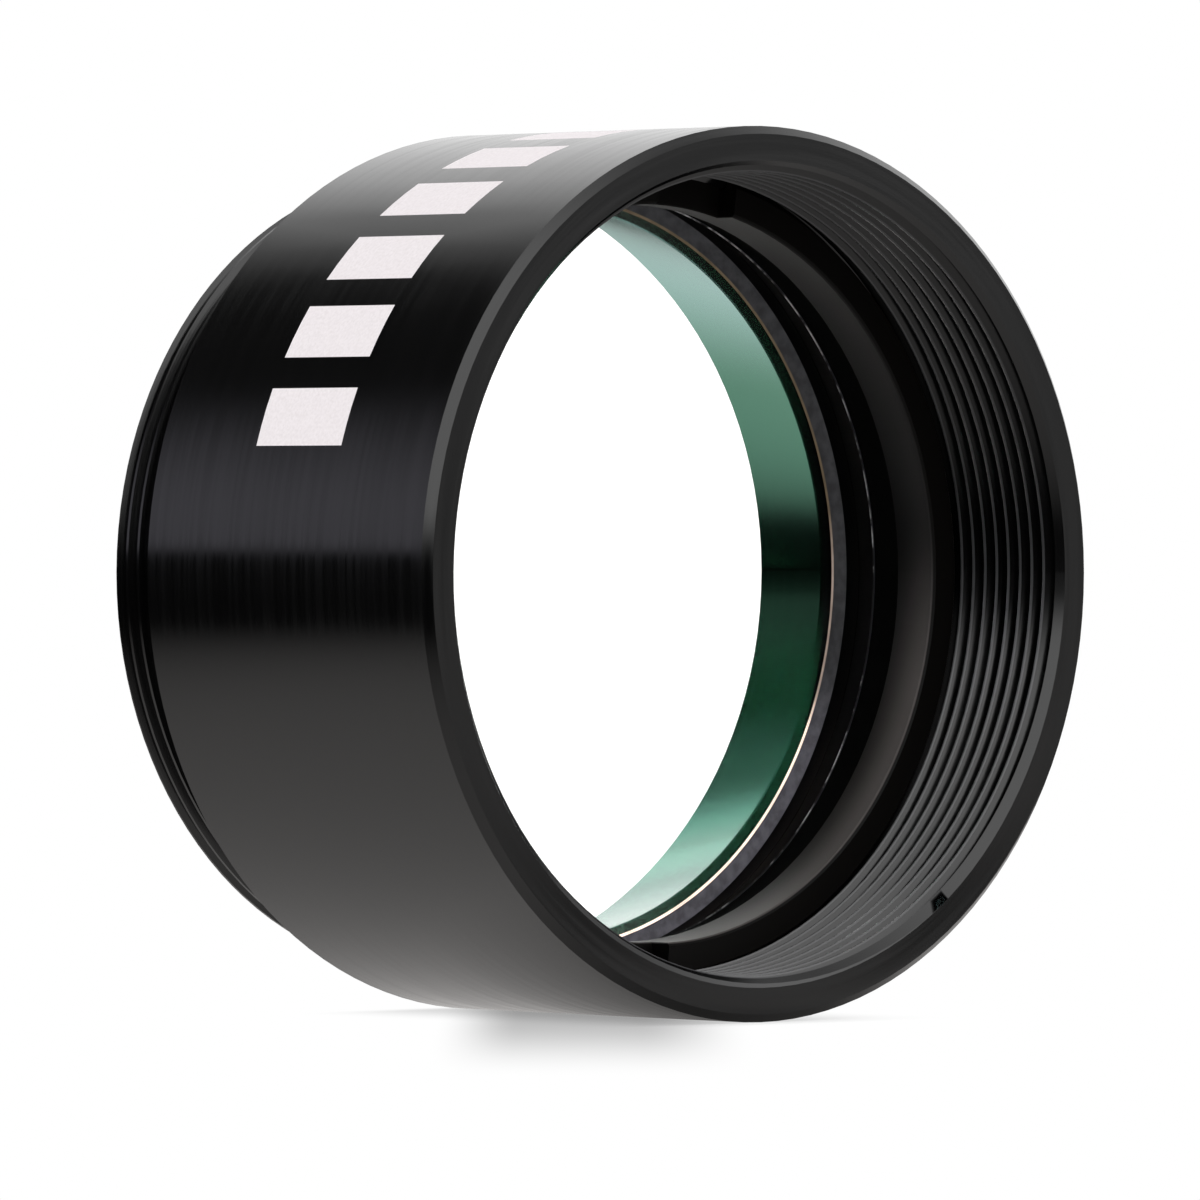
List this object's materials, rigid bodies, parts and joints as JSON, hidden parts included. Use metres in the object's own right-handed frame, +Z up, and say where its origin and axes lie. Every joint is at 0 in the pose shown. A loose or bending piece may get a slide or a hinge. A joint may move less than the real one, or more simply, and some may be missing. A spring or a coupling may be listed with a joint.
{
  "type": "barlow lens cell",
  "caption": "Screw-in 1.25-inch barlow lens cell: black anodised barrel with a coated cemented lens, a female filter thread in front and a male filter thread behind.",
  "frame": {"origin": "on the optical axis, in the plane of the rear shoulder", "axes": "+Y along the optical axis out of the male thread, open front mouth towards -Y, +Z up"},
  "size_m": [0.031, 0.0184, 0.031],
  "materials": {
    "black_anodised": "satin black anodised, finely turned",
    "black_ring": "matt black anodised",
    "coated_glass": "polished, green multicoated",
    "optical_cement": "clear",
    "white_fill": "matt white fill"
  },
  "bodies": {
    "cell": {"cell_body": "black_anodised", "barrel_mark": "white_fill", "front_element": "coated_glass", "cement_layer": "optical_cement", "rear_element": "coated_glass"},
    "spacer": {"spacer_ring": "black_ring"},
    "ring": {"retaining_ring": "black_ring"}
  },
  "joints": [
    {"name": "spacer_slide", "type": "slide", "parent": "cell", "child": "spacer", "axis": [0, -1, 0], "range_m": [0, 0.0066]},
    {"name": "ring_turn", "type": "hinge", "parent": "spacer", "child": "ring", "pos_m": [0, -0.0088, 0], "axis": [0, -1, 0], "range_deg": [0, 3744]}
  ],
  "couplings": [
    {"joint": "spacer_slide", "follows": "ring_turn", "m_per_rad": 0.000095493}
  ]
}
